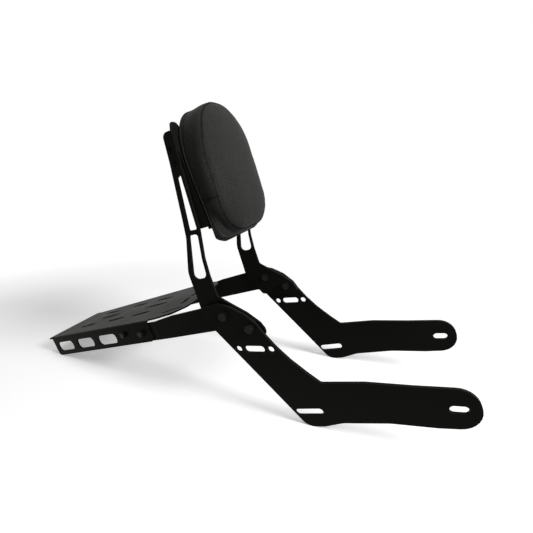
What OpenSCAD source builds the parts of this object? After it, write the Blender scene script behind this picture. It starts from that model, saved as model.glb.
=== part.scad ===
// Motorcycle backrest with a luggage rack, drawn as it stands on the floor.
// Lengths are in millimetres. +X is the front of the vehicle, +Y its left side, +Z is up.
// All pieces are drawn in the mounted frame: X forward along the lower slots, Z up,
// datum at the rear end of the elbow slot. The module stand() then tips the set onto its
// two elbows and the rear corners of the rack.

/* [Layout] */
// Distance between the middle planes of the two mounting plates
spacing = 200; // [180:1:240]
// Radial play between a fastener and its hole, and between the pad board and its pocket
fit = 0.3; // [0.2:0.05:0.5]

/* [Mounting plates] */
// Sheet thickness of the mounting plates
plate_t = 5; // [4:0.5:6]
// Distance from the datum to the front tip of the arm
arm_reach = 258; // [240:1:280]
// Depth of the arm at its round end
arm_depth = 60; // [54:1:68]
// Width of the three long slots
slot_w = 12.5; // [10:0.5:14]
// Length of the slot at the elbow
elbow_slot_l = 46; // [36:1:52]
// Length of the slot at the arm end
end_slot_l = 24; // [18:1:32]
// Length of the slot between the two round holes
mid_slot_l = 35; // [26:1:38]
// Diameter of the two round mounting holes
mount_hole_d = 11; // [8:0.5:12]

/* [Uprights] */
// Sheet thickness of the uprights
upright_t = 4; // [3:0.5:5]
// Height of the upright tops above the datum
upright_h = 470; // [460:1:482]
// Width of the thin struts beside the upper window
strut_w = 4.8; // [4:0.2:6]
// Thickness of the bar between the upper and the lower window
crossbar_h = 6; // [4:0.5:10]
// Height of the middle of that bar above the datum
crossbar_z = 325; // [318:1:332]

/* [Rack] */
// Sheet thickness of the rack arms
arm_t = 4; // [3:0.5:5]
// Sheet thickness of the rack plate
sheet_t = 3; // [2:0.5:4]
// Inward angle of the side flanges and of the arm ends
toe = 5; // [3:0.5:6]
// Downward slope of the rack towards the rear
slope = 2.4; // [0:0.2:4]
// Length of the rack behind the front ends of its flanges
rack_l = 340; // [320:1:360]
// Height of the side flanges at the front, plate included
flange_h = 41; // [38:1:46]
// Height of the side flanges at the rear, plate included
flange_rear_h = 45.5; // [41:0.5:50]
// Outer bend radius of the rack plate
bend_r = 5; // [4.5:0.5:7]
// Length of the windows in the flanges
window_l = 59; // [50:1:64]
// Height of the windows in the flanges
window_h = 21.5; // [18:0.5:24]
// Length of the strap slots beside the flanges
strap_l = 50; // [40:1:56]
// Length of the strap slots on the centre line
strap_mid_l = 60; // [44:1:70]
// Length of the strap slots across the front of the rack
strap_front_l = 35; // [26:1:38]
// Width of the strap slots in the rack
strap_w = 9; // [6:0.5:12]

/* [Pad] */
// Side clearance between the pad and the uprights
pad_gap = 0.5; // [0.4:0.1:4]
// Height of the front panel of the pad
pad_h = 207; // [190:1:212]
// Depth of the side band of the pad at its lower end
pad_band = 28.5; // [26:0.5:40]
// Crown of the front panel beyond the side band
pad_crown = 17; // [8:1:20]
// Backward lean of the board behind the pad
pad_lean = 4; // [1:0.5:5]
// Thickness of the board inside the pad
board_t = 8; // [6:0.5:10]
// Width of the cushion rim round the board
rim_w = 6; // [4:0.5:9]
// Sheet thickness of the pad bracket
bracket_t = 3; // [2:0.5:4]

/* [Hardware] */
// Thread diameter of the main bolts
main_d = 8; // [6:1:8]
// Thread diameter of the rack bolts and the pad screws
small_d = 6; // [5:0.5:6]
// Thickness of the washers
washer_t = 1.4; // [1:0.1:2]

/* [Hidden] */

$fn = 48;
arc_n = 7;

// The layers of each side, as distances from the middle plane of the set.
mount_out = spacing / 2 + plate_t / 2;
mount_in = mount_out - plate_t;
arm_out = mount_in;
arm_in = arm_out - arm_t;
up_out = arm_in;
up_in = up_out - upright_t;

// The two main bolts and the mounting holes, as [x, z].
main_at = [[-72.5, 183], [-33.5, 156.5]];
hole_line = -6.6;
mid_slot_at = [-38, 119];
hole_pitch = 28;
elbow_slot_at = [elbow_slot_l / 2 - 2, 1];
end_slot_at = [arm_reach - 27, 2.5];
end_mid = 1;
end_slot_turn = -6;

// Hex sizes from the thread diameter.
main_af = main_d * 1.625;
main_k = main_d * 0.66;
main_nut_h = main_d * 0.8;
small_af = small_d * 1.667;
small_k = small_d * 0.667;
small_nut_h = small_d * 0.83;

// The rack frame: its origin is the top face above the front ends of the flanges.
rack_o = [-240, 194.3];
arm_bend = 15;
flange_in0 = arm_out - arm_bend * tan(toe);
flange_out0 = flange_in0 + sheet_t / cos(toe);
flange_l = rack_l - 12;
arm_clear = 3;
tray_clear = 2;
tray_front = 71;
rack_bolt_at = [[24, -flange_h * 0.55], [75, -flange_h * 0.475]];
window_at = [131, (77 + rack_l) / 2, rack_l - 54];
window_z = -(sheet_t + (flange_h + flange_rear_h) / 2) / 2 - 1.4;

// The pad frame: its plane is the rear of the pad, its origin hangs 170 below the uprights.
pad_o = [-50, upright_h - 170];
pad_seam_x = pad_o[0] + pad_band;
pad_arch = 118;
pad_rear_arch = 98;
pad_rear_top = pad_h + 1;
pad_drop = 6;
plate_z = [20, 185];
tab_pts = [
    [-68, upright_h - 146, 1],
    [-70.5, upright_h - 139, 4],
    [-66.5, upright_h - 63, 3],
    [-76.5, upright_h - 56, 4],
    [-76.5, upright_h - 6, 6]];
bracket_screw_at = [[-70.5, upright_h - 44], [-70.5, upright_h - 24]];
pad_screw_at = [[-55, 45], [55, 45], [-55, 140], [55, 140]];
head_d = small_d * 1.75;
head_k = small_d * 0.5;
csk_d = small_d * 1.9;
tee_d = small_d * 1.4;
tee_flange_d = small_d * 3;
tee_flange_t = 1.6;
pad_screw_l = washer_t + bracket_t + board_t - 0.5;

// The corner of the elbow that stands on the floor.
elbow_corner = [12, -26, 22];
rear_corner_r = 9;
end_r = arm_depth / 2 - 1;

// [x, z] in the rack frame to [x, z] in the mounted frame.
function to_mounted(p) = [rack_o[0] + p[0] * cos(slope) - p[1] * sin(slope),
    rack_o[1] + p[0] * sin(slope) + p[1] * cos(slope)];

// [x, z] in the pad frame to [x, z] in the mounted frame.
function pad_to_mounted(p) = [pad_o[0] + p[0] * cos(pad_lean) - p[1] * sin(pad_lean),
    pad_o[1] + p[0] * sin(pad_lean) + p[1] * cos(pad_lean)];

function unit(v) = v / norm(v);

// Centre of the arc that rounds corner p between a and b with radius p[2].
function corner_centre(a, p, b) = let (
    q = [p[0], p[1]],
    u = unit([a[0], a[1]] - q),
    v = unit([b[0], b[1]] - q)
    ) q + unit(u + v) * (p[2] / sin(acos(u * v) / 2));

// Points of the arc that rounds corner p between a and b with radius p[2].
function corner(a, p, b, n) = let (
    q = [p[0], p[1]],
    u = unit([a[0], a[1]] - q),
    v = unit([b[0], b[1]] - q),
    half = acos(u * v) / 2,
    c = corner_centre(a, p, b),
    s = q + u * (p[2] / tan(half)) - c,
    e = q + v * (p[2] / tan(half)) - c,
    a0 = atan2(s[1], s[0]),
    turn = atan2(s[0] * e[1] - s[1] * e[0], s * e)
    ) [for (k = [0:n]) c + p[2] * [cos(a0 + turn * k / n), sin(a0 + turn * k / n)]];

// Outline through the points [x, y, radius]; a radius of zero keeps the corner sharp.
function outline(pts, n = arc_n) = [for (i = [0:len(pts) - 1])
    each pts[i][2] > 0
        ? corner(pts[(i + len(pts) - 1) % len(pts)], pts[i], pts[(i + 1) % len(pts)], n)
        : [[pts[i][0], pts[i][1]]]];

// Outline of the pad from bottom to top: straight sides, an arched top whose power is 2 for
// an ellipse, and round lower corners of width and height corner.
function pad_outline(bottom, top, arch, power, corner, inset) = let (
    hw = up_in - pad_gap - inset,
    zc = top - arch,
    h = arch - inset,
    rx = max(corner[0] - inset, 6),
    rz = max(corner[1] - inset, 6),
    zb = bottom + inset
    ) concat(
        [for (a = [0:7.5:180]) [hw * sign(cos(a)) * pow(abs(cos(a)), 2 / power),
            zc + h * pow(sin(a), 2 / power)]],
        [for (a = [180:11.25:270]) [-hw + rx + rx * cos(a), zb + rz + rz * sin(a)]],
        [for (a = [270:11.25:360]) [hw - rx + rx * cos(a), zb + rz + rz * sin(a)]]);

function pad_rear(inset) =
    pad_outline(-pad_drop, pad_rear_top, pad_rear_arch, 2.4, [20, 20], inset);

function pad_front(inset) = pad_outline(0, pad_h, pad_arch, 2.4, [62, 50], inset);

mount_pts = [
    elbow_corner,
    [41, elbow_corner[1], 26],
    [70, -19.5, 50],
    [140, -19.5, 80],
    [end_slot_at[0] - 30, -arm_depth / 2 + 3.5, 60],
    [arm_reach, end_mid - arm_depth / 2, end_r],
    [arm_reach, end_mid + arm_depth / 2, end_r],
    [end_slot_at[0] - 50, 40, 60],
    [118, 49, 80],
    [53.5, 52, 5],
    [36.7, 70, 20],
    [15.7, 95, 30],
    [-1.3, 120, 30],
    [-14.3, 144, 30],
    [-20, 159, 14],
    [-37, 180, 20],
    [-58, 195.5, 20],
    [-80, 204.5, 26],
    [-116, 202, 11],
    [-113, 186, 18]];

// Resting angle and height, from the round corners that touch the floor.
elbow_r = elbow_corner[2];
rear_centre = corner_centre([-flange_l, 0], [-flange_l, -flange_rear_h, rear_corner_r],
    [0, -flange_h]);
rear_touch = to_mounted([rear_centre[0] * cos(toe), rear_centre[1]]);
elbow_touch = corner_centre(mount_pts[len(mount_pts) - 1], elbow_corner, mount_pts[1]);
touch_v = elbow_touch - rear_touch;
touch_l = norm(touch_v);
tilt = atan2(-touch_v[1], touch_v[0]) + asin((elbow_r - rear_corner_r) / touch_l);
drop = elbow_touch[0] * sin(tilt) + elbow_touch[1] * cos(tilt) - elbow_r;
tip_x = (arm_reach - end_r) * cos(tilt) - (mount_pts[5][1] + end_r) * sin(tilt) + end_r;
tail_x = to_mounted([-rack_l, 0])[0] * cos(tilt) - to_mounted([-rack_l, 0])[1] * sin(tilt);
mid_x = (tip_x + tail_x) / 2;

upright_pts = [
    [-75, upright_h, 8],
    [-79.3, upright_h - 40, 30],
    [-92.3, crossbar_z + 20, 60],
    [-97, crossbar_z - 8, 40],
    [-116.5, 262, 40],
    [-117, 192.5, 12],
    [-91, 147, 6],
    [-16, 135, 7],
    [-13, 146, 12],
    [-18.5, 159, 14],
    [-36, 178.5, 20],
    [-58, 196.5, 20],
    [-78.5, 214, 8],
    [-79.3, 250, 40],
    [-77.4, 279, 40],
    [-68.3, crossbar_z - 1, 40],
    [-62.3, upright_h - 45, 60],
    [-58.5, upright_h, 4]];

upper_window = [
    [-76, upright_h - 65, 1.8],
    [-92.2 + strut_w, crossbar_z + crossbar_h / 2 - 2, 2.5],
    [-67.8 - strut_w, crossbar_z + crossbar_h / 2 - 3, 2.5],
    [-63.4 - strut_w, upright_h - 61, 1.8]];

lower_window = [
    [-96.5 + strut_w * 1.3, crossbar_z - crossbar_h / 2 - 3, 4],
    [-111.3, 247.5, 9],
    [-84.8, 247.5, 9],
    [-77.2 - strut_w, 279, 30],
    [-69.7 - strut_w, crossbar_z - crossbar_h / 2 - 4, 4]];

arm_pts = [
    [to_mounted([arm_bend, -sheet_t - arm_clear])[0],
        to_mounted([arm_bend, -sheet_t - arm_clear])[1], 0],
    [to_mounted([arm_bend, -flange_h])[0], to_mounted([arm_bend, -flange_h])[1], 0],
    [-190, 154.5, 60],
    [-100, 157, 40],
    [-62, 148, 30],
    [-20, 145, 12],
    [-26, 166, 14],
    [-59, 193.5, 20],
    [-80, 201.5, 40],
    [-122, 198.5, 60],
    [-183, 195, 60]];

tray_pts = [
    [-rack_l, -(flange_out0 - rack_l * tan(toe)), 4],
    [0, -(flange_out0 - bend_r), 0],
    [0, -(arm_in - tray_clear), 2],
    [arm_bend, -(arm_in - tray_clear), 8],
    [49, -84, 16],
    [68, -60, 14],
    [tray_front, -44, 10],
    [tray_front, 44, 10],
    [68, 60, 14],
    [49, 84, 16],
    [arm_bend, arm_in - tray_clear, 8],
    [0, arm_in - tray_clear, 2],
    [0, flange_out0 - bend_r, 0],
    [-rack_l, flange_out0 - rack_l * tan(toe), 4]];

// Strap slots as [x, y], all in the rack frame.
strap_side_at = [[99 - rack_l, 36], [-145, 38.8], [-69, 39.5]];
strap_mid_at = [135 - rack_l, -62];
strap_front_at = [36, 19.5];
strap_front_turn = 75;
strap_corner_at = [36, 64];
strap_corner_turn = -24;

mount_plate_right();
mount_plate_left();
upright_right();
upright_left();
rack_arm_right();
rack_arm_left();
rack_plate();
pad_bracket();
pad_board();
pad_cushion();
main_bolts_right();
main_bolts_left();
main_washers_right();
main_washers_left();
main_nuts_right();
main_nuts_left();
rack_bolts_right();
rack_bolts_left();
rack_washers_right();
rack_washers_left();
rack_nuts_right();
rack_nuts_left();
bracket_screws_right();
bracket_screws_left();
bracket_nuts_right();
bracket_nuts_left();
pad_screws();
pad_washers();
pad_tee_nuts();

// Tips the mounted set onto the floor and centres it.
module stand() {
    translate([-mid_x, 0, -drop])
        rotate([0, -tilt, 0])
            children();
}

module left_side() {
    mirror([0, 1, 0])
        children();
}

// A sheet on the right side, from the distance near to near + t from the middle plane.
module sheet(near, t) {
    translate([0, -near, 0])
        rotate([90, 0, 0])
            linear_extrude(height = t)
                children();
}

// Places children at [x, z] on the right side with +Z of the child pointing inward.
module inward(at, far) {
    translate([at[0], -far, at[1]])
        rotate([-90, 0, 0])
            children();
}

module rack_frame() {
    translate([rack_o[0], 0, rack_o[1]])
        rotate([0, -slope, 0])
            children();
}

// The right flange plane: local X runs forward, the outer face of the flange is y = 0.
module flange_frame() {
    rack_frame()
        translate([0, -flange_out0, 0])
            rotate([0, 0, -toe])
                children();
}

module slot2(l, w) {
    polygon(outline([
        [-l / 2, -w / 2, w / 2 - 0.02],
        [l / 2, -w / 2, w / 2 - 0.02],
        [l / 2, w / 2, w / 2 - 0.02],
        [-l / 2, w / 2, w / 2 - 0.02]]));
}

// A pointed strap slot.
module strap2(l, w) {
    polygon([[-l / 2, -w * 0.5], [l / 2 - w * 1.4, -w * 0.5], [l / 2, w * 0.1],
        [l / 2, w * 0.5], [-l / 2 + w * 1.4, w * 0.5], [-l / 2, -w * 0.1]]);
}

// Hex head below z = 0 with its shank above.
module hex_bolt(d, af, k, l) {
    cylinder(d = d, h = l - d * 0.1);
    translate([0, 0, l - d * 0.1])
        cylinder(d1 = d, d2 = d * 0.8, h = d * 0.1);
    translate([0, 0, -k])
        intersection() {
            cylinder(d = af / cos(30), h = k, $fn = 6);
            cylinder(d1 = af * 0.98, d2 = af * 0.98 + k * 3.4, h = k);
        }
}

module hex_nut(d, af, h) {
    difference() {
        intersection() {
            cylinder(d = af / cos(30), h = h, $fn = 6);
            cylinder(d2 = af * 0.98, d1 = af * 0.98 + h * 3.4, h = h);
        }
        translate([0, 0, -1])
            cylinder(d = d + 2 * fit, h = h + 2);
    }
}

module washer(d, t) {
    difference() {
        cylinder(d = d * 2, h = t);
        translate([0, 0, -1])
            cylinder(d = d + 2 * fit, h = t + 2);
    }
}

module mount_plate() {
    color("black")
        stand()
            sheet(mount_in, plate_t)
                difference() {
                    polygon(outline(mount_pts));
                    for (p = main_at)
                        translate(p)
                            circle(d = main_d + 2 * fit);
                    translate(mid_slot_at)
                        rotate(hole_line) {
                            slot2(mid_slot_l, slot_w);
                            translate([-hole_pitch, 0])
                                circle(d = mount_hole_d);
                            translate([hole_pitch, 0])
                                circle(d = mount_hole_d);
                        }
                    translate(elbow_slot_at)
                        slot2(elbow_slot_l, slot_w);
                    translate(end_slot_at)
                        rotate(end_slot_turn)
                            slot2(end_slot_l, slot_w);
                }
}

module mount_plate_right() {
    mount_plate();
}

module mount_plate_left() {
    left_side()
        mount_plate();
}

module upright() {
    color("black")
        stand()
            difference() {
                sheet(up_in, upright_t)
                    difference() {
                        polygon(outline(upright_pts));
                        polygon(outline(upper_window));
                        polygon(outline(lower_window));
                        for (p = main_at)
                            translate(p)
                                circle(d = main_d + 2 * fit);
                        for (p = bracket_screw_at)
                            translate(p)
                                circle(d = small_d + 2 * fit);
                    }
                for (p = bracket_screw_at)
                    inward(p, up_out + 1)
                        cylinder(d1 = csk_d + 2, d2 = csk_d - 4, h = 3);
            }
}

module upright_right() {
    upright();
}

module upright_left() {
    left_side()
        upright();
}

// The rack arm is bent inward, along the same line as the flange that covers its end.
module rack_arm() {
    color("black")
        stand() {
            sheet(arm_in, arm_t)
                difference() {
                    polygon(outline(arm_pts));
                    for (p = main_at)
                        translate(p)
                            circle(d = main_d + 2 * fit);
                }
            flange_frame()
                translate([0, sheet_t, 0])
                    difference() {
                        translate([arm_end_x(), arm_t, 0])
                            rotate([90, 0, 0])
                                linear_extrude(height = arm_t)
                                    polygon(outline([
                                        [0, -flange_h, 10],
                                        [-arm_end_x() + arm_bend / cos(toe), -flange_h, 0],
                                        [-arm_end_x() + arm_bend / cos(toe),
                                            -sheet_t - arm_clear, 0],
                                        [0, -sheet_t - arm_clear, 10]]));
                        for (p = rack_bolt_at)
                            translate([-p[0], -1, p[1]])
                                rotate([-90, 0, 0])
                                    cylinder(d = small_d + 2 * fit, h = arm_t + 2);
                    }
        }
}

function arm_end_x() = -rack_bolt_at[1][0] - 14;

module rack_arm_right() {
    rack_arm();
}

module rack_arm_left() {
    left_side()
        rack_arm();
}

// One flange with its bend, its windows and its bolt holes.
module flange() {
    flange_frame()
        difference() {
            intersection() {
                translate([-flange_l, 0, 0])
                    rotate([90, 0, 90])
                        linear_extrude(height = flange_l)
                            polygon(concat(
                                [[bend_r + 6, 0]],
                                [for (k = [0:8]) [bend_r - bend_r * sin(k * 11.25),
                                    -bend_r + bend_r * cos(k * 11.25)]],
                                [[0, -flange_rear_h], [sheet_t, -flange_rear_h]],
                                [for (k = [8:-1:0])
                                    [bend_r - (bend_r - sheet_t) * sin(k * 11.25),
                                    -bend_r + (bend_r - sheet_t) * cos(k * 11.25)]],
                                [[bend_r + 6, -sheet_t]]));
                translate([0, bend_r + 20, 0])
                    rotate([90, 0, 0])
                        linear_extrude(height = bend_r + 40)
                            polygon(outline([
                                [-flange_l, 2, 0],
                                [-flange_l, -flange_rear_h, rear_corner_r],
                                [0, -flange_h, 7],
                                [0, 2, 0]]));
            }
            for (x = window_at)
                translate([-x, sheet_t + 1, window_z])
                    rotate([90, 0, 0])
                        linear_extrude(height = sheet_t + 2)
                            polygon(outline([
                                [-window_l / 2, -window_h / 2, 9],
                                [window_l / 2, -window_h / 2, 9],
                                [window_l / 2, window_h / 2, 9],
                                [-window_l / 2, window_h / 2, 9]]));
            for (p = rack_bolt_at)
                translate([-p[0], -1, p[1]])
                    rotate([-90, 0, 0])
                        cylinder(d = small_d + 2 * fit, h = sheet_t + 2);
        }
}

// The rack is one sheet: a tapered plate with a flange folded down on each side.
module rack_plate() {
    color("dimgray")
        stand() {
            flange();
            left_side()
                flange();
            rack_frame()
                translate([0, 0, -sheet_t])
                    linear_extrude(height = sheet_t)
                        difference() {
                            intersection() {
                                polygon(outline(tray_pts));
                                union() {
                                    translate([-flange_l, -200])
                                        square([flange_l + 100, 400]);
                                    translate([-rack_l - 1, -200])
                                        square([rack_l - flange_l + 2, 400]);
                                }
                                polygon([
                                    [-rack_l, -(flange_out0 - rack_l * tan(toe))],
                                    [-flange_l * cos(toe),
                                        -(flange_out0 - flange_l * sin(toe))],
                                    [-flange_l * cos(toe),
                                        -(flange_out0 - bend_r - flange_l * sin(toe))],
                                    [0, -(flange_out0 - bend_r)],
                                    [tray_front + 1, -(flange_out0 - bend_r)],
                                    [tray_front + 1, flange_out0 - bend_r],
                                    [0, flange_out0 - bend_r],
                                    [-flange_l * cos(toe),
                                        flange_out0 - bend_r - flange_l * sin(toe)],
                                    [-flange_l * cos(toe),
                                        flange_out0 - flange_l * sin(toe)],
                                    [-rack_l, flange_out0 - rack_l * tan(toe)]]);
                            }
                            for (m = [0, 1])
                                mirror([0, m])
                                    strap_slots();
                            for (x = strap_mid_at)
                                translate([x, 0])
                                    strap2(strap_mid_l, strap_w);
                        }
        }
}

// The strap slots of one half of the rack.
module strap_slots() {
    for (p = strap_side_at)
        translate(p)
            rotate(-toe)
                strap2(strap_l, strap_w);
    translate(strap_corner_at)
        rotate(strap_corner_turn)
            strap2(strap_l * 0.84, strap_w * 0.7);
    translate(strap_front_at)
        rotate(strap_front_turn)
            strap2(strap_front_l, strap_w);
}

// A back plate behind the pad, with a tab folded back along each upright.
module pad_bracket() {
    color("black")
        stand() {
            pad_frame()
                translate([-bracket_t, 0, 0])
                    rotate([90, 0, 90])
                        linear_extrude(height = bracket_t)
                            difference() {
                                polygon(outline([
                                    [-up_in, plate_z[0], 2],
                                    [up_in, plate_z[0], 2],
                                    [up_in, plate_z[1] - 18, 8],
                                    [up_in - 10, plate_z[1], 6],
                                    [up_in - 24, plate_z[1], 8],
                                    [up_in - 32, plate_z[1] - 18, 12],
                                    [-up_in + 32, plate_z[1] - 18, 12],
                                    [-up_in + 24, plate_z[1], 8],
                                    [-up_in + 10, plate_z[1], 6],
                                    [-up_in, plate_z[1] - 18, 8]]));
                                polygon(outline([
                                    [-34, plate_z[0] + 27, 10],
                                    [34, plate_z[0] + 27, 10],
                                    [34, plate_z[1] - 50, 10],
                                    [-34, plate_z[1] - 50, 10]]));
                                for (p = pad_screw_at)
                                    translate(p)
                                        circle(d = small_d + 2 * fit);
                            }
            bracket_tab();
            left_side()
                bracket_tab();
        }
}

module bracket_tab() {
    sheet(up_in - bracket_t, bracket_t)
        difference() {
            polygon(outline(concat(
                [[pad_to_mounted([-0.5, plate_z[1] - 20])[0], tab_pts[4][1], 0]],
                [[pad_to_mounted([-0.5, plate_z[0]])[0], tab_pts[0][1], 0]],
                tab_pts)));
            for (p = bracket_screw_at)
                translate(p)
                    circle(d = small_d + 2 * fit);
        }
}

// The plane behind the pad: local X points forward, local Z up along the board.
module pad_frame() {
    translate([pad_o[0], 0, pad_o[1]])
        rotate([0, -pad_lean, 0])
            children();
}

module pad_board() {
    color("saddlebrown")
        stand()
            pad_frame()
                rotate([90, 0, 90])
                    linear_extrude(height = board_t)
                        difference() {
                            polygon(pad_rear(rim_w));
                            for (p = pad_screw_at)
                                translate(p)
                                    circle(d = tee_d + 2 * fit);
                        }
}

module pad_layer(x, pts) {
    translate([x, 0, 0])
        rotate([90, 0, 90])
            linear_extrude(height = 0.1)
                polygon(pts);
}

// The cushion is crowned at the front and has a pocket for the board at the rear.
module pad_cushion() {
    color([0.09, 0.09, 0.09])
        stand()
            difference() {
                hull() {
                    pad_frame() {
                        pad_layer(0, pad_rear(2));
                        pad_layer(5, pad_rear(0));
                    }
                    translate([pad_seam_x, 0, pad_o[1]]) {
                        pad_layer(-4, pad_front(0));
                        pad_layer(0, pad_front(2));
                        pad_layer(pad_crown * 0.5, pad_front(14));
                        pad_layer(pad_crown * 0.82, pad_front(32));
                        pad_layer(pad_crown - 0.1, pad_front(58));
                    }
                }
                pad_frame() {
                    translate([-1, 0, 0])
                        rotate([90, 0, 90])
                            linear_extrude(height = board_t + 1)
                                polygon(pad_rear(rim_w - fit));
                    for (p = pad_screw_at)
                        translate([board_t - 1, p[0], p[1]])
                            rotate([0, 90, 0])
                                cylinder(d = tee_flange_d + 2 * fit,
                                    h = tee_flange_t + 1 + fit);
                }
            }
}

module main_bolts() {
    color([0.12, 0.12, 0.12])
        stand()
            for (p = main_at)
                inward(p, mount_out + washer_t)
                    hex_bolt(main_d, main_af, main_k,
                        2 * washer_t + plate_t + arm_t + upright_t + main_nut_h + 3);
}

module main_bolts_right() {
    main_bolts();
}

module main_bolts_left() {
    left_side()
        main_bolts();
}

module main_washers() {
    color([0.2, 0.2, 0.2])
        stand()
            for (p = main_at) {
                inward(p, mount_out + washer_t)
                    washer(main_d, washer_t);
                inward(p, up_in)
                    washer(main_d, washer_t);
            }
}

module main_washers_right() {
    main_washers();
}

module main_washers_left() {
    left_side()
        main_washers();
}

module main_nuts() {
    color([0.2, 0.2, 0.2])
        stand()
            for (p = main_at)
                inward(p, up_in - washer_t)
                    hex_nut(main_d, main_af, main_nut_h);
}

module main_nuts_right() {
    main_nuts();
}

module main_nuts_left() {
    left_side()
        main_nuts();
}

// Places children at both rack bolts, at the depth y behind the outer flange face.
module at_rack_bolts(y) {
    for (p = rack_bolt_at)
        flange_frame()
            translate([-p[0], y, p[1]])
                rotate([-90, 0, 0])
                    children();
}

module rack_bolts() {
    color([0.12, 0.12, 0.12])
        stand()
            at_rack_bolts(-washer_t)
                hex_bolt(small_d, small_af, small_k,
                    2 * washer_t + sheet_t + arm_t + small_nut_h + 2);
}

module rack_bolts_right() {
    rack_bolts();
}

module rack_bolts_left() {
    left_side()
        rack_bolts();
}

module rack_washers() {
    color([0.2, 0.2, 0.2])
        stand() {
            at_rack_bolts(-washer_t)
                washer(small_d, washer_t);
            at_rack_bolts(sheet_t + arm_t)
                washer(small_d, washer_t);
        }
}

module rack_washers_right() {
    rack_washers();
}

module rack_washers_left() {
    left_side()
        rack_washers();
}

module rack_nuts() {
    color([0.2, 0.2, 0.2])
        stand()
            at_rack_bolts(sheet_t + arm_t + washer_t)
                hex_nut(small_d, small_af, small_nut_h);
}

module rack_nuts_right() {
    rack_nuts();
}

module rack_nuts_left() {
    left_side()
        rack_nuts();
}

// Countersunk screws that hold the bracket tabs to the uprights.
module bracket_screws() {
    color([0.12, 0.12, 0.12])
        stand()
            for (p = bracket_screw_at)
                inward(p, up_out)
                    difference() {
                        union() {
                            cylinder(d = small_d,
                                h = upright_t + bracket_t + small_nut_h + 1.5);
                            cylinder(d1 = csk_d - 2 * fit, d2 = csk_d - 4 - 2 * fit, h = 2);
                        }
                        translate([0, 0, -1])
                            cylinder(d = small_d * 0.6, h = 2.6, $fn = 6);
                    }
}

module bracket_screws_right() {
    bracket_screws();
}

module bracket_screws_left() {
    left_side()
        bracket_screws();
}

module bracket_nuts() {
    color([0.2, 0.2, 0.2])
        stand()
            for (p = bracket_screw_at)
                inward(p, up_in - bracket_t)
                    hex_nut(small_d, small_af, small_nut_h);
}

module bracket_nuts_right() {
    bracket_nuts();
}

module bracket_nuts_left() {
    left_side()
        bracket_nuts();
}

// Places children at the four pad screws, at the depth x of the pad frame.
module at_pad_screws(x) {
    for (p = pad_screw_at)
        pad_frame()
            translate([x, p[0], p[1]])
                rotate([0, 90, 0])
                    children();
}

// Button head screws from behind, through the bracket into the tee nuts of the board.
module pad_screws() {
    color([0.12, 0.12, 0.12])
        stand()
            at_pad_screws(-bracket_t - washer_t)
                difference() {
                    union() {
                        cylinder(d = small_d, h = pad_screw_l);
                        translate([0, 0, -head_k])
                            cylinder(d1 = head_d * 0.7, d2 = head_d, h = head_k);
                    }
                    translate([0, 0, -head_k - 1])
                        cylinder(d = small_d * 0.6, h = head_k * 0.6 + 1, $fn = 6);
                }
}

module pad_washers() {
    color([0.2, 0.2, 0.2])
        stand()
            at_pad_screws(-bracket_t - washer_t)
                washer(small_d, washer_t);
}

module pad_tee_nuts() {
    color([0.7, 0.7, 0.7])
        stand()
            at_pad_screws(1)
                difference() {
                    union() {
                        cylinder(d = tee_d, h = board_t - 1);
                        translate([0, 0, board_t - 1])
                            cylinder(d = tee_flange_d, h = tee_flange_t);
                    }
                    translate([0, 0, -1])
                        cylinder(d = small_d + 2 * fit, h = board_t + tee_flange_t + 2);
                }
}
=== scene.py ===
import math

import bpy
import numpy as np
from mathutils import Matrix, Vector


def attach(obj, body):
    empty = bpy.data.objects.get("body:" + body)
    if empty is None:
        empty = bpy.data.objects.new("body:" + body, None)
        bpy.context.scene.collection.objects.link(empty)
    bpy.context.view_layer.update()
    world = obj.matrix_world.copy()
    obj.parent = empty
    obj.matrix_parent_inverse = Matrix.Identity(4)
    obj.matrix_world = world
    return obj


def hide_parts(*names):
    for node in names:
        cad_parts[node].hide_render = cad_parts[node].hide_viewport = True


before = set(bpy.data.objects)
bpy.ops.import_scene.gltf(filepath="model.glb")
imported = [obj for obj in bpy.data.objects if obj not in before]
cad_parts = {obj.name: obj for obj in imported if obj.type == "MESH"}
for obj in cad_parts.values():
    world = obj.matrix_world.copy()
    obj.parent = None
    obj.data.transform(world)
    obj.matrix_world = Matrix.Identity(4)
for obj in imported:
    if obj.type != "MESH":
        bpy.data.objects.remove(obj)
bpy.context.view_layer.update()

MM = 0.001

# The sizes that the scene shares with part.scad, in millimetres and degrees.
TILT, DROP, MID_X = 15.604875583843404, -19.243782118070893, -178.60592805906828
PAD_O = (-50.0, 300.0)
PAD_LEAN = 4.0
PAD_BAND = 28.5
PAD_HALF_W = 89.0
PAD_H = 207.0
PAD_ARCH, PAD_REAR_ARCH = 118.0, 98.0
PAD_REAR_TOP = 208.0
PAD_DROP = 6.0
PAD_CENTRE = 98.0
RIM_W, FIT, BOARD_T = 6.0, 0.3, 8.0

# How square each outline of the pad is, and its lower corners' radii across and up.
POCKET_SHAPE = (2.4, (20, 20))
FRONT_SHAPE = (2.4, (62, 50))


def mounted_to_row(p):
    """A point of the mounted frame in millimetres to the row frame in metres."""
    c, s = math.cos(math.radians(TILT)), math.sin(math.radians(TILT))
    x, y, z = p
    return np.array([x * c - z * s - MID_X, y, x * s + z * c - DROP]) * MM


def pad_to_mounted(x, y, z):
    """A point of the pad frame (x forward, z up along the board) to the mounted frame."""
    c, s = math.cos(math.radians(PAD_LEAN)), math.sin(math.radians(PAD_LEAN))
    return np.array([PAD_O[0] + x * c - z * s, y, PAD_O[1] + x * s + z * c])


# Camera, at the photograph's place and angle.

FOCAL_PX, FRAME_PX, SENSOR = 325.0, 533.0, 36.0
CAM_AT = Vector((0.29719, -0.51558, 0.40496))
CAM_RIGHT = Vector((0.9359, 0.3496, -0.0421))
CAM_DOWN = Vector((0.0684, -0.2979, -0.9521))


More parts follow.
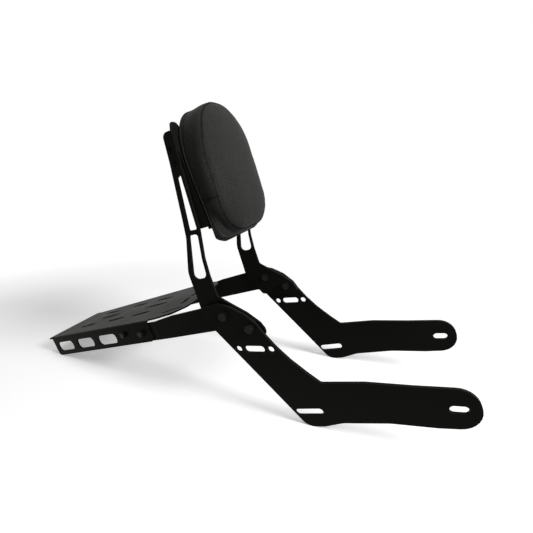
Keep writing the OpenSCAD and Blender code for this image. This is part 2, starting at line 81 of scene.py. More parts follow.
def make_camera():
    right = CAM_RIGHT.normalized()
    up = -(CAM_DOWN - right * CAM_DOWN.dot(right)).normalized()
    back = right.cross(up)
    data = bpy.data.cameras.new("camera")
    data.sensor_width = SENSOR
    data.sensor_fit = "HORIZONTAL"
    data.lens = FOCAL_PX / FRAME_PX * SENSOR
    data.clip_start, data.clip_end = 0.02, 60
    cam = bpy.data.objects.new("camera", data)
    turn = Matrix((right, up, back)).transposed().to_4x4()
    cam.matrix_world = Matrix.Translation(CAM_AT) @ turn
    bpy.context.scene.collection.objects.link(cam)
    bpy.context.scene.camera = cam


# Materials.


class Nodes:
    """Short calls for building one material's nodes."""

    def __init__(self, tree):
        self.tree = tree

    def add(self, kind, inputs=(), **props):
        node = self.tree.nodes.new(kind)
        for key, value in props.items():
            setattr(node, key, value)
        for key, value in dict(inputs).items():
            self.put(node, key, value)
        return node

    def put(self, node, key, value):
        if isinstance(value, bpy.types.NodeSocket):
            self.tree.links.new(value, node.inputs[key])
        else:
            node.inputs[key].default_value = value


def new_material(name):
    mat = bpy.data.materials.new(name)
    mat.use_nodes = True
    tree = mat.node_tree
    tree.nodes.clear()
    n = Nodes(tree)
    shader = n.add("ShaderNodeBsdfPrincipled")
    out = n.add("ShaderNodeOutputMaterial")
    tree.links.new(shader.outputs[0], out.inputs[0])
    return mat, n, shader


def ramp(n, fac, stops):
    node = n.add("ShaderNodeValToRGB", {0: fac})
    e = node.color_ramp.elements
    while len(e) < len(stops):
        e.new(0.5)
    for el, (pos, col) in zip(e, stops):
        el.position = pos
        el.color = (*col, 1) if len(col) == 3 else (col[0],) * 3 + (1,)
    return node.outputs[0]


def map_range(n, value, a, b, c, d):
    return n.add("ShaderNodeMapRange", {0: value, 1: a, 2: b, 3: c, 4: d}).outputs[0]


def coat(name, base, wear_and_highlight_colour, rough, spec, grain=1400.0, edge=0.0007):
    """Powder coat: a fine orange peel, soft rounded edges, faint rub marks and a little dust.
    Along the edges the rub marks take a lighter colour, partly wear and partly a painted edge
    highlight.
    """
    mat, n, shader = new_material(name)
    at = n.add("ShaderNodeTexCoord").outputs["Object"]
    peel = n.add("ShaderNodeTexNoise", {"Vector": at, "Scale": grain, "Detail": 3.0})
    cloud = n.add("ShaderNodeTexNoise", {"Vector": at, "Scale": 9.0, "Detail": 5.0,
                                         "Roughness": 0.6})
    rub = n.add("ShaderNodeTexNoise", {"Vector": at, "Scale": 60.0, "Detail": 6.0,
                                       "Roughness": 0.7})
    round_edge = n.add("ShaderNodeBevel", {"Radius": edge}, samples=6)
    flat = n.add("ShaderNodeNewGeometry").outputs["True Normal"]
    dot = n.add("ShaderNodeVectorMath", {0: round_edge.outputs[0], 1: flat},
                operation="DOT_PRODUCT").outputs["Value"]
    near_edge = map_range(n, dot, 0.995, 0.80, 0.0, 1.0)
    # Painted highlight: near the edges the colour goes lighter, broken up by the rub noise,
    # partly rub wear and partly a painted edge highlight.
    edge_wear_and_highlight = n.add("ShaderNodeMath", {0: near_edge, 1: map_range(
        n, rub.outputs[0], 0.42, 0.62, 0.1, 0.75)}, operation="MULTIPLY").outputs[0]
    body = ramp(n, cloud.outputs[0], [(0.3, [c * 0.8 for c in base]),
                                      (0.72, [c * 1.25 for c in base])])
    colour = n.add("ShaderNodeMix", {0: edge_wear_and_highlight, 6: body, 7: (*wear_and_highlight_colour, 1)},
                   data_type="RGBA").outputs[2]
    n.put(shader, "Base Color", colour)
    n.put(shader, "Roughness", map_range(n, cloud.outputs[0], 0.3, 0.7,
                                         rough - 0.05, rough + 0.06))
    n.put(shader, "Specular IOR Level", spec)
    bump = n.add("ShaderNodeBump", {"Strength": 0.35, "Distance": 0.00012,
                                    "Height": peel.outputs[0],
                                    "Normal": round_edge.outputs[0]})
    n.put(shader, "Normal", bump.outputs[0])
    return mat


def metal(name, base, rough, metallic, spec=0.5):
    """Plated or oxide finished steel with fine turning marks and small stains."""
    mat, n, shader = new_material(name)
    at = n.add("ShaderNodeTexCoord").outputs["Object"]
    fine = n.add("ShaderNodeTexNoise", {"Vector": at, "Scale": 2600.0, "Detail": 2.0})
    stain = n.add("ShaderNodeTexNoise", {"Vector": at, "Scale": 220.0, "Detail": 5.0})
    n.put(shader, "Base Color", ramp(n, stain.outputs[0], [
        (0.32, [c * 0.65 for c in base]), (0.68, [c * 1.3 for c in base])]))
    n.put(shader, "Roughness", map_range(n, stain.outputs[0], 0.3, 0.7,
                                         rough - 0.08, rough + 0.1))
    n.put(shader, "Metallic", metallic)
    n.put(shader, "Specular IOR Level", spec)
    round_edge = n.add("ShaderNodeBevel", {"Radius": 0.0004}, samples=4)
    bump = n.add("ShaderNodeBump", {"Strength": 0.3, "Distance": 0.00006,
                                    "Height": fine.outputs[0],
                                    "Normal": round_edge.outputs[0]})
    n.put(shader, "Normal", bump.outputs[0])
    return mat


def vinyl(name, base, rough, grain=420.0):
    """Grained vinyl: pebble cells with creases between them, the creases painted darker as shade,
    and broad patches of wear.
    """
    mat, n, shader = new_material(name)
    at = n.add("ShaderNodeTexCoord").outputs["Object"]
    warp = n.add("ShaderNodeTexNoise", {"Vector": at, "Scale": 180.0, "Detail": 2.0})
    shifted = n.add("ShaderNodeMix", {0: 0.004, 4: at, 5: warp.outputs["Color"]},
                    data_type="VECTOR").outputs[1]
    cells = n.add("ShaderNodeTexVoronoi", {"Vector": shifted, "Scale": grain},
                  feature="DISTANCE_TO_EDGE").outputs["Distance"]
    pebble_and_crease_shade = map_range(n, cells, 0.0, 0.22, 0.0, 1.0)
    crease = n.add("ShaderNodeTexNoise", {"Vector": at, "Scale": 34.0, "Detail": 6.0,
                                          "Roughness": 0.55, "Distortion": 0.8})
    patch = n.add("ShaderNodeTexNoise", {"Vector": at, "Scale": 14.0, "Detail": 4.0})
    tone = ramp(n, patch.outputs[0], [(0.3, [c * 0.82 for c in base]),
                                      (0.7, [c * 1.2 for c in base])])
    # Painted shade: the creases between the pebble cells are darkened to 0.55 of the base colour.
    colour = n.add("ShaderNodeMix", {0: pebble_and_crease_shade, 6: (*[c * 0.55 for c in base], 1), 7: tone},
                   data_type="RGBA").outputs[2]
    n.put(shader, "Base Color", colour)
    n.put(shader, "Roughness", map_range(n, patch.outputs[0], 0.3, 0.7,
                                         rough - 0.05, rough + 0.07))
    n.put(shader, "Specular IOR Level", 0.03)
    n.put(shader, "Sheen Weight", 0.008)
    n.put(shader, "Sheen Roughness", 0.5)
    fine = n.add("ShaderNodeBump", {"Strength": 0.45, "Distance": 0.00016,
                                    "Height": pebble_and_crease_shade})
    soft = n.add("ShaderNodeBump", {"Strength": 0.35, "Distance": 0.0011,
                                    "Height": crease.outputs[0],
                                    "Normal": fine.outputs[0]})
    n.put(shader, "Normal", soft.outputs[0])
    return mat


def thread(name, base):
    """Twisted sewing thread, with painted shade in the grooves of the twist and a painted
    highlight on its ridges.
    """
    mat, n, shader = new_material(name)
    at = n.add("ShaderNodeTexCoord").outputs["Object"]
    twist_and_shade = n.add("ShaderNodeTexWave", {"Vector": at, "Scale": 900.0, "Distortion": 2.0})
    # Painted shade and highlight: the colour follows the twist's bump, darker in its grooves and
    # lighter on its ridges.
    n.put(shader, "Base Color", ramp(n, twist_and_shade.outputs[1], [
        (0.2, [c * 0.6 for c in base]), (0.8, [c * 1.4 for c in base])]))
    n.put(shader, "Roughness", 0.7)
    n.put(shader, "Specular IOR Level", 0.05)
    bump = n.add("ShaderNodeBump", {"Strength": 0.5, "Distance": 0.0001,
                                    "Height": twist_and_shade.outputs[1]})
    n.put(shader, "Normal", bump.outputs[0])
    return mat


# Each coat's second colour is its lighter edge colour, partly rub wear and partly a painted edge
# highlight.
MATS = {
    "frame": coat("frame_powder_coat", (0.0075, 0.0076, 0.0062), (0.040, 0.040, 0.038),
                  0.45, 0.032),
    "rack": coat("rack_powder_coat", (0.0062, 0.0062, 0.0048), (0.033, 0.032, 0.027),
                 0.40, 0.022),
    "bolt": metal("black_oxide", (0.0050, 0.0050, 0.0045), 0.30, 0.0, 0.13),
    "screw": metal("dull_black_oxide", (0.0045, 0.0045, 0.004), 0.55, 0.0, 0.03),
    "zinc": metal("zinc_plate", (0.55, 0.55, 0.52), 0.34, 1.0),
    "board": coat("board_plastic", (0.012, 0.012, 0.012), (0.03, 0.03, 0.03), 0.6, 0.25,
                  grain=700.0, edge=0.0005),
    "vinyl": vinyl("pad_vinyl", (0.032, 0.032, 0.0306), 0.55),
    "piping": vinyl("piping_vinyl", (0.018, 0.018, 0.0172), 0.5, grain=700.0),
    "thread": thread("pad_thread", (0.006, 0.006, 0.006)),
}


def finish_of(node):
    if node == "rack_plate":
        return "rack"
    if node == "pad_tee_nuts":
        return "zinc"
    if node == "pad_board":
        return "board"
    if node.startswith("bracket_screws"):
        return "screw"
    if any(k in node for k in ("bolts", "washers", "nuts", "screws")):
        return "bolt"
    return "frame"


def dress_nodes():
    for name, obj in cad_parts.items():
        obj.data.materials.clear()
        obj.data.materials.append(MATS[finish_of(name)])


# The pad cushion.

# The mesh: quads from a panel's middle to its edge, points per loop, rows of the band.
RINGS = 22
N_LOOP = 8 * RINGS
BAND_ROWS = 10
TURN = 2 * math.pi
OUTLINE_POINTS, EDGE_POINTS, ARC_POINTS = 60, 60, 4001

# The rear: its own softer outline, the pocket for the board, and the hem at the bottom.
REAR_SHAPE, REAR_ARCH, REAR_SAG = (2.25, (34, 30)), 108, 1
SHRINK = 1.2
POCKET_X, POCKET_LIP = BOARD_T + 0.4, 0.9
HEM_TOP, HEM_OUT, HEM_X = 16.0, 6.0, 4.5
BAND_X = 4.6

# The front: the seam, the rounded shoulder behind it and the crowned panel inside it.
SEAM_IN, SEAM_X, SEAM_RISE = (1.6, 4.4), (-1.6, 2.2), (120, 172)
SEAM_DIP = 1.1
SHOULDER_L, SHOULDER_ROWS, SHOULDER_POWER = 13.0, 4, 2.2
PANEL_TOP = 14.0
CROWN_POWERS = (2.8, 0.65)

# The fabric: its gathers, cross seams and padding.
PUCKER, PUCKER_SEED = 0.28, 7
PAD_MIDDLE_X = 12
CROSS_SEAM_Z, CROSS_SEAM_DIP = 361.0, 0.9
BAND_PUFF, PANEL_PUFF = 1.2 * MM, 3.0 * MM
CLOTH_FRAMES, PRESSURE = 20, 4

# Piping, dark lines of painted shade in the seam grooves, and stitches.
PIPING_R, PIPING_OUT = 1.6 * MM, 0.1 * MM
# Painted shade: thin dark thread-coloured lines in the front seam and the cross seams stand in
# for the shade in their grooves.
SEAM_SHADE_R, SEAM_SHADE_OUT = 0.6 * MM, 0.45 * MM
CROSS_SHADE_R, CROSS_SHADE_OUT = 0.5 * MM, 0.3 * MM
SEAM_STITCH = dict(pitch=4.6 * MM, length=3.2 * MM, radius=0.3 * MM)
RIM_STITCH = dict(pitch=4.6 * MM, length=3.3 * MM, radius=0.34 * MM)
CROSS_STITCH = dict(pitch=4.2 * MM, length=3.0 * MM, radius=0.34 * MM)
SEAM_STITCH_OUT, RIM_STITCH_OUT, CROSS_STITCH_OUT = 0.15 * MM, 0.25 * MM, 0.35 * MM


def pad_outline(bottom, top, arch, power, corner, inset, n=OUTLINE_POINTS):
    """The outline of part.scad's pad_outline, with more points."""
    hw, zc, h = PAD_HALF_W - inset, top - arch, arch - inset
    rx, rz = max(corner[0] - inset, 6), max(corner[1] - inset, 6)
    zb = bottom + inset
    a = np.linspace(0, math.pi, 2 * n)
    cy = np.sign(np.cos(a)) * np.abs(np.cos(a)) ** (2 / power)
    top_part = np.stack([hw * cy, zc + h * np.sin(a).clip(0) ** (2 / power)], 1)
    b = np.linspace(math.pi, 1.5 * math.pi, n)
    left = np.stack([-hw + rx + rx * np.cos(b), zb + rz + rz * np.sin(b)], 1)
    c = b + math.pi / 2
    right = np.stack([hw - rx + rx * np.cos(c), zb + rz + rz * np.sin(c)], 1)
    return np.concatenate([top_part, left, right])


def polar(points):
    """The outline's radius as a function of the angle around the pad's centre."""
    nxt = np.roll(points, -1, 0)
    points = np.concatenate([p + (q - p) * np.linspace(0, 1, EDGE_POINTS, False)[:, None]
                             for p, q in zip(points, nxt)])
    d = points - np.array([0, PAD_CENTRE])
    ang = np.unwrap(np.arctan2(d[:, 1], d[:, 0]))
    rad = np.hypot(d[:, 0], d[:, 1])
    order = np.argsort(ang % TURN)
    ang, rad = (ang % TURN)[order], rad[order]
    ang = np.concatenate([ang - TURN, ang, ang + TURN])
    rad = np.concatenate([rad, rad, rad])
    return lambda a: np.interp(a % TURN, ang, rad)


def pocket_loop(inset):
    """The rear edge of the CAD solid, which the pocket for the board follows."""
    return polar(pad_outline(-PAD_DROP, PAD_REAR_TOP, PAD_REAR_ARCH, *POCKET_SHAPE, inset))


def rear_loop(inset):
    """The cover's own rear edge, with softer corners and a little sag at the bottom."""
    return polar(pad_outline(-PAD_DROP - REAR_SAG, PAD_REAR_TOP - REAR_SAG, REAR_ARCH,
                             *REAR_SHAPE, inset))


FRONT_EDGE = polar(pad_outline(0, PAD_H, PAD_ARCH, *FRONT_SHAPE, 0))


def smooth(a, b, v):
    """0 below a, 1 above b and an even slope between them."""
    t = np.clip((v - a) / (b - a), 0, 1)
    return t * t * (3 - 2 * t)


def seam_radius(a):
    """The front seam's radius: well in from the edge at the sides, less at the top."""
    low, high = SEAM_IN
    return FRONT_EDGE(a) - low - (high - low) * np.cos(a) ** 2


def seam_place(a):
    """How far the front seam lies forward of the solid's edge: more in its upper part."""
    z = PAD_CENTRE + FRONT_EDGE(a) * np.sin(a)
    return SEAM_X[0] + (SEAM_X[1] - SEAM_X[0]) * smooth(*SEAM_RISE, z)


def even_angles():
    """Angles of points spaced evenly along the front outline, from the +Y side on."""
    a = np.linspace(0, TURN, ARC_POINTS)
    r = FRONT_EDGE(a)
    p = np.stack([r * np.cos(a), r * np.sin(a)], 1)
    run = np.concatenate([[0], np.cumsum(np.linalg.norm(np.diff(p, axis=0), axis=1))])
    return np.interp(np.arange(N_LOOP + 1) / N_LOOP * run[-1], run, a)


def cushion_mesh():
    """Vertices in millimetres of the mounted frame, faces, loops by name and front grid."""
    phi = even_angles()
    verts, faces, loops = [], [], {}

    def rear_point(a, r, x):
        z = PAD_CENTRE + r * math.sin(a)
        hem = HEM_OUT * min(1, max(0, (HEM_TOP - z) / HEM_TOP)) if x < HEM_X else 0
        return pad_to_mounted(x - hem, r * math.cos(a), z)

    def front_point(a, r, x):
        return np.array([PAD_O[0] + PAD_BAND + x, r * math.cos(a),
                         PAD_O[1] + PAD_CENTRE + r * math.sin(a)])

    def add_loop(name, points):
        loops[name] = list(range(len(verts), len(verts) + N_LOOP))
        verts.extend(points)

    def join(a, b):
        for i in range(N_LOOP):
            j = (i + 1) % N_LOOP
            faces.append((loops[a][i], loops[a][j], loops[b][j], loops[b][i]))

    angles = phi[:N_LOOP]
    pocket = pocket_loop(RIM_W - FIT)(angles)
    rows = [("pocket_floor", pocket, POCKET_X), ("pocket_edge", pocket, POCKET_LIP),
            ("rim_in", pocket + 0.6, 0.3), ("rim_mid", rear_loop(SHRINK + 1)(angles), 0.25),
            ("rim_out", rear_loop(SHRINK)(angles), 1.2)]
    for name, radius, x in rows:
        add_loop(name, [rear_point(a, q, x) for a, q in zip(angles, radius)])
    start = np.array([rear_point(a, q, BAND_X) for a, q in
                      zip(angles, rear_loop(SHRINK)(angles))])
    full, seam_r, seam_x = FRONT_EDGE(angles), seam_radius(angles), seam_place(angles)
    end = np.array([front_point(*v) for v in zip(angles, full, seam_x - SHOULDER_L)])
    last = BAND_ROWS - SHOULDER_ROWS
    for k in range(last + 1):
        t = k / last
        add_loop(f"band_{k}", list(start * (1 - t) + end * t))
    for k in range(1, SHOULDER_ROWS + 1):
        t = k / (SHOULDER_ROWS + 1)
        add_loop(f"band_{last + k}", [front_point(*v) for v in zip(
            angles, full + (seam_r - full) * t ** SHOULDER_POWER, seam_x - SHOULDER_L * (1 - t))])
    add_loop("seam", [front_point(*v) for v in
                      zip(angles, seam_r - SEAM_DIP, seam_x - SEAM_DIP)])
    names = [n for n, _, _ in rows] + [f"band_{k}" for k in range(BAND_ROWS + 1)] + ["seam"]
    for a, b in zip(names, names[1:]):
        join(a, b)

    def grid(edge, point, flip):
        """A square grid of quads inside the loop edge; point(share, angle) places it."""
        index = {}
        for a in range(-RINGS, RINGS + 1):
            for b in range(-RINGS, RINGS + 1):
                k = max(abs(a), abs(b))
                if k == 0:
                    q = 0.0
                elif a == k and b > -k:
                    q = b / k
                elif b == k:
                    q = 1 + (k - a) / k
                elif a == -k:
                    q = 3 + (k - b) / k
                else:
                    q = 5 + (k + a) / k
                step = (q % 8) * RINGS
                if k == RINGS:
                    index[a, b] = loops[edge][int(round(step)) % N_LOOP]
                else:
                    ang = np.interp(step, np.arange(N_LOOP + 1), phi)
                    index[a, b] = len(verts)
                    verts.append(point(k / RINGS, ang))
        for a in range(-RINGS, RINGS):
            for b in range(-RINGS, RINGS):
                f = (index[a, b], index[a + 1, b], index[a + 1, b + 1], index[a, b + 1])
                faces.append(f[::-1] if flip else f)
        return index

    rr = pocket_loop(RIM_W - FIT)
    p, q = CROWN_POWERS

    def panel_point(s, a):
        edge = seam_place(a)
        return front_point(a, s * seam_radius(a),
                           edge + (PANEL_TOP - edge) * (1 - s ** p) ** q)

    front = grid("seam", panel_point, False)
    grid("pocket_floor", lambda s, a: rear_point(a, s * rr(a), POCKET_X), True)
    return np.array(verts), faces, loops, front


def to_object(name, points, faces, mat, slot):
    mesh = bpy.data.meshes.new(name)
    mesh.from_pydata([tuple(p) for p in points], [], faces)
    mesh.validate()
    for poly in mesh.polygons:
        poly.use_smooth = True
    mesh.materials.append(MATS[mat])
    obj = bpy.data.objects.new(name, mesh)
    bpy.context.scene.collection.objects.link(obj)
    return obj


def pressed(points, faces, pinned, cap):
    """The points after a short cloth simulation under inner pressure, each move capped."""
    obj = to_object("press", points, faces, "vinyl", None)
    group = obj.vertex_groups.new(name="pin")
    group.add([int(i) for i in pinned], 1.0, "REPLACE")
    cloth = obj.modifiers.new("cloth", "CLOTH")
    s = cloth.settings
    s.quality = 6
    s.mass = 0.3
    s.tension_stiffness = s.compression_stiffness = 12
    s.shear_stiffness = 6
    s.bending_stiffness = 0.6
    s.use_pressure = True
    s.uniform_pressure_force = PRESSURE
    s.vertex_group_mass = "pin"
    s.effector_weights.gravity = 0
    cloth.point_cache.frame_start, cloth.point_cache.frame_end = 1, CLOTH_FRAMES
    scene = bpy.context.scene
    for f in range(1, CLOTH_FRAMES + 1):
        scene.frame_set(f)
    dg = bpy.context.evaluated_depsgraph_get()
    moved = np.array([v.co for v in obj.evaluated_get(dg).data.vertices], float)
    scene.frame_set(1)
    bpy.data.objects.remove(obj)
    d = moved - points
    size = np.linalg.norm(d, axis=1, keepdims=True)
    return points + d / np.maximum(size, 1e-9) * cap * np.tanh(size / cap)


def row_points(points):
    return np.array([mounted_to_row(p) for p in points])


def cross_columns(points, loops):
    """The two columns of the band, one on each side, that hold the cross seams."""
    loop = np.array([points[i] for i in loops["band_5"]])
    out = []
    for side in (-1, 1):
        ok = loop[:, 1] * side > 60
        cost = np.where(ok, np.abs(loop[:, 2] - CROSS_SEAM_Z), 1e9)
        out.append(int(np.argmin(cost)))
    return out


def pucker(points, loops, front):
    """Small gathers beside the seam, deepest next to it and round the lower corners."""
    rng = np.random.default_rng(PUCKER_SEED)
    wave = rng.normal(0, 1, N_LOOP)
    wave = (wave + 0.6 * np.roll(wave, 1) + 0.6 * np.roll(wave, -1)) / 1.3
    centre = pad_to_mounted(PAD_MIDDLE_X, 0, PAD_CENTRE)
    rows = [(f"band_{BAND_ROWS - k}", 0.85 ** k) for k in range(5)]
    for name, share in rows:
        for c, i in enumerate(loops[name]):
            low = min(1, max(0, (PAD_O[1] + 70 - points[i][2]) / 60))
            d = points[i] - centre
            size = PUCKER * share * (0.35 + 1.1 * low) * wave[c]
            points[i] += d / np.linalg.norm(d) * size
    for (a, b), i in front.items():
        k = max(abs(a), abs(b))
        if RINGS - 4 < k < RINGS:
            near = np.linalg.norm(points[loops["seam"]] - points[i], axis=1)
            c = int(np.argmin(near))
            low = min(1, max(0, (PAD_O[1] + 60 - points[i][2]) / 50))
            points[i][0] += PUCKER * (0.25 + 1.2 * low) * wave[c] * 0.7 ** (RINGS - k)


def make_cushion():
    """Make the cover, and return its points, its loops and the cross seams' columns."""
    points, faces, loops, front = cushion_mesh()
    pucker(points, loops, front)
    columns = cross_columns(points, loops)
    band = [f"band_{k}" for k in range(BAND_ROWS + 1)]
    for c in columns:
        for name in band[1:]:
            i = loops[name][c]
            points[i][1] -= math.copysign(CROSS_SEAM_DIP, points[i][1])
    row = row_points(points)
    pinned = sum((loops[n] for n in ("pocket_floor", "pocket_edge", "rim_in", "rim_mid",
                                     "rim_out", "seam")), [])
    pinned += [loops[n][c] for n in band for c in columns]
    pocket_from = max(front.values()) + 1
    inner = [i for i in range(pocket_from, len(points))
             if points[i][0] < PAD_O[0] + PAD_MIDDLE_X]
    pinned = sorted(set(pinned + inner))
    cap = np.full((len(row), 1), BAND_PUFF)
    cap[list(front.values())] = PANEL_PUFF
    row = pressed(row, faces, pinned, cap)
    cushion = to_object("pad_cover", row, faces, "vinyl", "pad_cover")
    sub = cushion.modifiers.new("subdivide", "SUBSURF")
    sub.levels = sub.render_levels = 1
    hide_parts("pad_cushion")
    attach(cushion, "root")
    return row, loops, columns


def tube(path, radius, sides=10, closed=True):
    """Vertices and faces of a tube along a path of points."""
    path = np.asarray(path)
    n = len(path)
    nxt = np.roll(path, -1, 0) if closed else np.vstack([path[1:], 2 * path[-1] - path[-2]])
    prv = np.roll(path, 1, 0) if closed else np.vstack([2 * path[0] - path[1], path[:-1]])
    t = nxt - prv
    t /= np.linalg.norm(t, axis=1, keepdims=True)
    ref = np.cross(t[0], [0, 0, 1.0])
    if np.linalg.norm(ref) < 1e-3:
        ref = np.cross(t[0], [0, 1.0, 0])
    verts, faces = [], []
    for k in range(n):
        ref = ref - t[k] * ref.dot(t[k])
        ref /= np.linalg.norm(ref)
        side = np.cross(t[k], ref)
        for j in range(sides):
            a = TURN * j / sides
            verts.append(path[k] + radius * (math.cos(a) * ref + math.sin(a) * side))
    for k in range(n if closed else n - 1):
        for j in range(sides):
            q = (j + 1) % sides
            m = (k + 1) % n
            faces.append((k * sides + j, m * sides + j, m * sides + q, k * sides + q))
    if not closed:
        faces.append(tuple(range(sides)))
        faces.append(tuple((n - 1) * sides + j for j in reversed(range(sides))))
    return verts, faces


def gather(parts):
    """Several vertex and face lists as one."""
    verts, faces = [], []
    for v, f in parts:
        base = len(verts)
        verts.extend(v)
        faces.extend(tuple(i + base for i in face) for face in f)
    return verts, faces


def resample(path, step, closed=True):
    """Points about one step apart along a path."""
    path = np.asarray(path)
    if closed:
        path = np.vstack([path, path[:1]])
    run = np.concatenate([[0], np.cumsum(np.linalg.norm(np.diff(path, axis=0), axis=1))])
    count = max(2, int(run[-1] / step))
    at = np.linspace(0, run[-1], count + 1)[:-1] if closed else np.linspace(0, run[-1], count)
    return np.stack([np.interp(at, run, path[:, k]) for k in range(3)], 1)


def stitches(path, centre, pitch, length, radius, closed=True):
    """Short rods of thread along a path, each slightly bowed away from the centre."""
    pts = resample(path, pitch, closed)
    parts = []
    last = len(pts) if closed else len(pts) - 1
    for k in range(last):
        a, b = pts[k], pts[(k + 1) % len(pts)]
        mid = (a + b) / 2
        d = (b - a) / max(np.linalg.norm(b - a), 1e-9)
        out = mid - centre
        out -= d * out.dot(d)
        out /= max(np.linalg.norm(out), 1e-9)
        line = [mid + d * length * (s - 0.5) + out * radius * (0.9 - 3.2 * (s - 0.5) ** 2)
                for s in np.linspace(0, 1, 5)]
        parts.append(tube(line, radius, 6, closed=False))
    return gather(parts)


def outward(points, centre, amount):
    """The points moved away from the centre."""
    d = points - centre
    return points + d / np.linalg.norm(d, axis=1, keepdims=True) * amount


def dress_cushion(row, loops, columns):
    """Piping, stitches and dark lines of painted shade in the seam grooves, all following the
    cover's own points.
    """
    centre = mounted_to_row(pad_to_mounted(PAD_MIDDLE_X, 0, PAD_CENTRE))
    path = 0.5 * (row[loops["rim_out"]] + row[loops["band_0"]])
    path = outward(path, centre, PIPING_OUT)
    piping = to_object("pad_piping", *tube(path, PIPING_R, 12), "piping", "pad_cover")
    seam = np.array([row[i] for i in loops["seam"]])
    near = 0.75 * np.array([row[i] for i in loops[f"band_{BAND_ROWS}"]]) + 0.25 * seam
    top = to_object("pad_seam_stitches", *stitches(
        outward(near, centre, SEAM_STITCH_OUT), centre, **SEAM_STITCH),
        "thread", "pad_cover")
    # Painted shade: a dark thread-coloured line along the front seam, in its groove.
    seam_shade = to_object("pad_seam_shade", *tube(outward(seam, centre, SEAM_SHADE_OUT), SEAM_SHADE_R, 8),
                     "thread", "pad_cover")
    rear = np.array([row[i] for i in loops["band_1"]])
    back = to_object("pad_rim_stitches", *stitches(
        outward(rear, centre, RIM_STITCH_OUT), centre, **RIM_STITCH),
        "thread", "pad_cover")
    parts = []
    for c in columns:
        # Painted shade: a dark thread-coloured line along each cross seam's groove.
        cross_shade = np.array([row[loops[f"band_{k}"][c]] for k in range(1, BAND_ROWS + 1)])
        parts.append(tube(outward(cross_shade, centre, CROSS_SHADE_OUT), CROSS_SHADE_R, 8, closed=False))
        for shift in (-1, 1):
            line = []
            for k in range(1, BAND_ROWS + 1):
                loop = loops[f"band_{k}"]
                p, q = row[loop[c]], row[loop[(c + shift) % N_LOOP]]
                line.append(p + (q - p) * 0.55)
            line = outward(np.array(line), centre, CROSS_STITCH_OUT)
            parts.append(stitches(line, centre, closed=False, **CROSS_STITCH))
    cross = to_object("pad_cross_stitches", *gather(parts), "thread", "pad_cover")
    for piece in (piping, top, seam_shade, back, cross):
        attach(piece, "root")


# Threads on the bolt ends that show beside the nuts.

THREAD_FROM, THREAD_TO = 0.9 * MM, 8.6 * MM
THREAD_R, THREAD_PITCH, THREAD_RIDGE = 3.86 * MM, 1.25 * MM, 0.32 * MM
THREAD_STEPS = 24


def helix(at, axis, start, end, radius, pitch):
    """A closed tube that winds round an axis from start to end along it."""
    axis = Vector(axis).normalized()
    u = axis.orthogonal().normalized()
    v = axis.cross(u)
    turns = (end - start) / pitch
    count = int(turns * THREAD_STEPS)
    pts = []
    for k in range(count + 1):
        a = TURN * turns * k / count
        p = Vector(at) + axis * (start + (end - start) * k / count)
        pts.append(np.array(p + (u * math.cos(a) + v * math.sin(a)) * radius))
    return tube(pts, THREAD_RIDGE, 6, closed=False)


def shanks(node):
    """The lowest and highest corner of each loose solid of a bolt node."""
    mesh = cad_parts[node].data
    co = np.array([v.co for v in mesh.vertices], float)
    key = {}
    parent = list(range(len(co)))

    def find(i):
        while parent[i] != i:
            parent[i] = parent[parent[i]]
            i = parent[i]
        return i

    for i, p in enumerate(np.round(co, 6)):
        j = key.setdefault(tuple(p), i)
        parent[find(i)] = find(j)
    for e in mesh.edges:
        parent[find(e.vertices[0])] = find(e.vertices[1])
    groups = {}
    for i in range(len(co)):
        groups.setdefault(find(i), []).append(i)
    out = []
    for ids in groups.values():
        p = co[ids]
        out.append((p.min(0), p.max(0)))
    return out


def make_threads():
    """Helical ridges on the free ends of the main bolts, one piece per side."""
    for side, s in (("right", -1), ("left", 1)):
        parts = []
        for lo, hi in shanks(f"main_bolts_{side}"):
            mid = (lo + hi) / 2
            tip = hi[1] if s < 0 else lo[1]
            parts.append(helix((mid[0], tip, mid[2]), (0, s, 0), THREAD_FROM, THREAD_TO,
                               THREAD_R, THREAD_PITCH))
        piece = to_object(f"main_threads_{side}", *gather(parts), "bolt", "fastener_black")
        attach(piece, "root")


# Floor, background and lights.

# The world's strength, except for camera, glossy and transmission rays, which see 1.
WORLD_LIGHT = 0.12
# The floor's colour and its own glow for those rays, and its colour for all others.
FLOOR, FLOOR_LIFT, FLOOR_BOUNCE = 0.90, 0.36, 0.16
# Where the floor's fade to plain white is centred, its shape, and where it starts and ends.
FADE_FROM, FADE_SHAPE, FADE = (-0.35, -0.05, 0), (1.0, 1.3, 1.0), (0.55, 1.0)
FLOOR_HALF = 30.0
# Each lamp's name, place, power in watts and diameter. All aim at one point.
LAMPS = [
    ("key", (2.05, -0.34, 1.5), 60.0, 0.8),
    ("top", (-0.15, -0.1, 2.5), 13.0, 1.6),
]
LAMP_AIM = (0, 0, 0.15)


def seen_ray(n):
    """1 for camera, glossy and transmission rays, which see the white backdrop."""
    path = n.add("ShaderNodeLightPath").outputs
    seen = n.add("ShaderNodeMath", {0: path["Is Camera Ray"], 1: path["Is Glossy Ray"]},
                 operation="MAXIMUM").outputs[0]
    return n.add("ShaderNodeMath", {0: seen, 1: path["Is Transmission Ray"]},
                 operation="MAXIMUM").outputs[0]


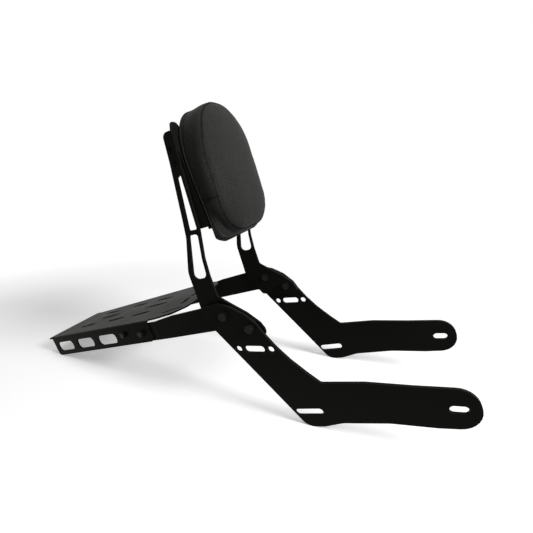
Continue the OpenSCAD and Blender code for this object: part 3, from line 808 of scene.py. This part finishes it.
def make_stage():
    """The floor, which keeps the shadow and fades to white, the world and the lamps."""
    mesh = bpy.data.meshes.new("floor")
    r = FLOOR_HALF
    mesh.from_pydata([(-r, -r, 0), (r, -r, 0), (r, r, 0), (-r, r, 0)], [], [(0, 1, 2, 3)])
    floor = bpy.data.objects.new("floor", mesh)
    bpy.context.scene.collection.objects.link(floor)
    mat = bpy.data.materials.new("floor_paper")
    mat.use_nodes = True
    tree = mat.node_tree
    tree.nodes.clear()
    n = Nodes(tree)
    at = n.add("ShaderNodeTexCoord").outputs["Object"]
    at = n.add("ShaderNodeVectorMath", {0: at, 1: FADE_FROM}, operation="SUBTRACT").outputs[0]
    at = n.add("ShaderNodeVectorMath", {0: at, 1: FADE_SHAPE}, operation="MULTIPLY").outputs[0]
    far = n.add("ShaderNodeVectorMath", {0: at}, operation="LENGTH").outputs["Value"]
    fade = map_range(n, far, *FADE, 0.0, 1.0)
    ray = seen_ray(n)
    fac = n.add("ShaderNodeMath", {0: fade, 1: ray}, operation="MULTIPLY").outputs[0]
    grey = map_range(n, ray, 0.0, 1.0, FLOOR_BOUNCE, FLOOR)
    paper = n.add("ShaderNodeBsdfDiffuse", {"Color": grey}).outputs[0]
    lift = n.add("ShaderNodeMath", {0: ray, 1: FLOOR_LIFT}, operation="MULTIPLY").outputs[0]
    glow = n.add("ShaderNodeEmission", {"Color": (1, 1, 1, 1), "Strength": lift}).outputs[0]
    paper = n.add("ShaderNodeAddShader", {0: paper, 1: glow}).outputs[0]
    white = n.add("ShaderNodeEmission", {"Color": (1, 1, 1, 1), "Strength": 1.0}).outputs[0]
    mix = n.add("ShaderNodeMixShader", {0: fac, 1: paper, 2: white}).outputs[0]
    out = n.add("ShaderNodeOutputMaterial")
    tree.links.new(mix, out.inputs[0])
    mesh.materials.append(mat)

    world = bpy.data.worlds.new("studio")
    world.use_nodes = True
    bpy.context.scene.world = world
    w = Nodes(world.node_tree)
    world.node_tree.nodes.clear()
    strength = map_range(w, seen_ray(w), 0.0, 1.0, WORLD_LIGHT, 1.0)
    back = w.add("ShaderNodeBackground", {"Color": (1, 1, 1, 1), "Strength": strength})
    out = w.add("ShaderNodeOutputWorld")
    world.node_tree.links.new(back.outputs[0], out.inputs[0])

    for name, at, power, size in LAMPS:
        data = bpy.data.lights.new(name, "AREA")
        data.shape = "DISK"
        data.energy, data.size = power, size
        lamp = bpy.data.objects.new(name, data)
        lamp.location = at
        lamp.rotation_euler = (Vector(LAMP_AIM) - Vector(at)).to_track_quat(
            "-Z", "Y").to_euler()
        bpy.context.scene.collection.objects.link(lamp)


make_camera()
dress_nodes()
dress_cushion(*make_cushion())
make_threads()
make_stage()
bpy.context.scene.view_settings.view_transform = "Standard"
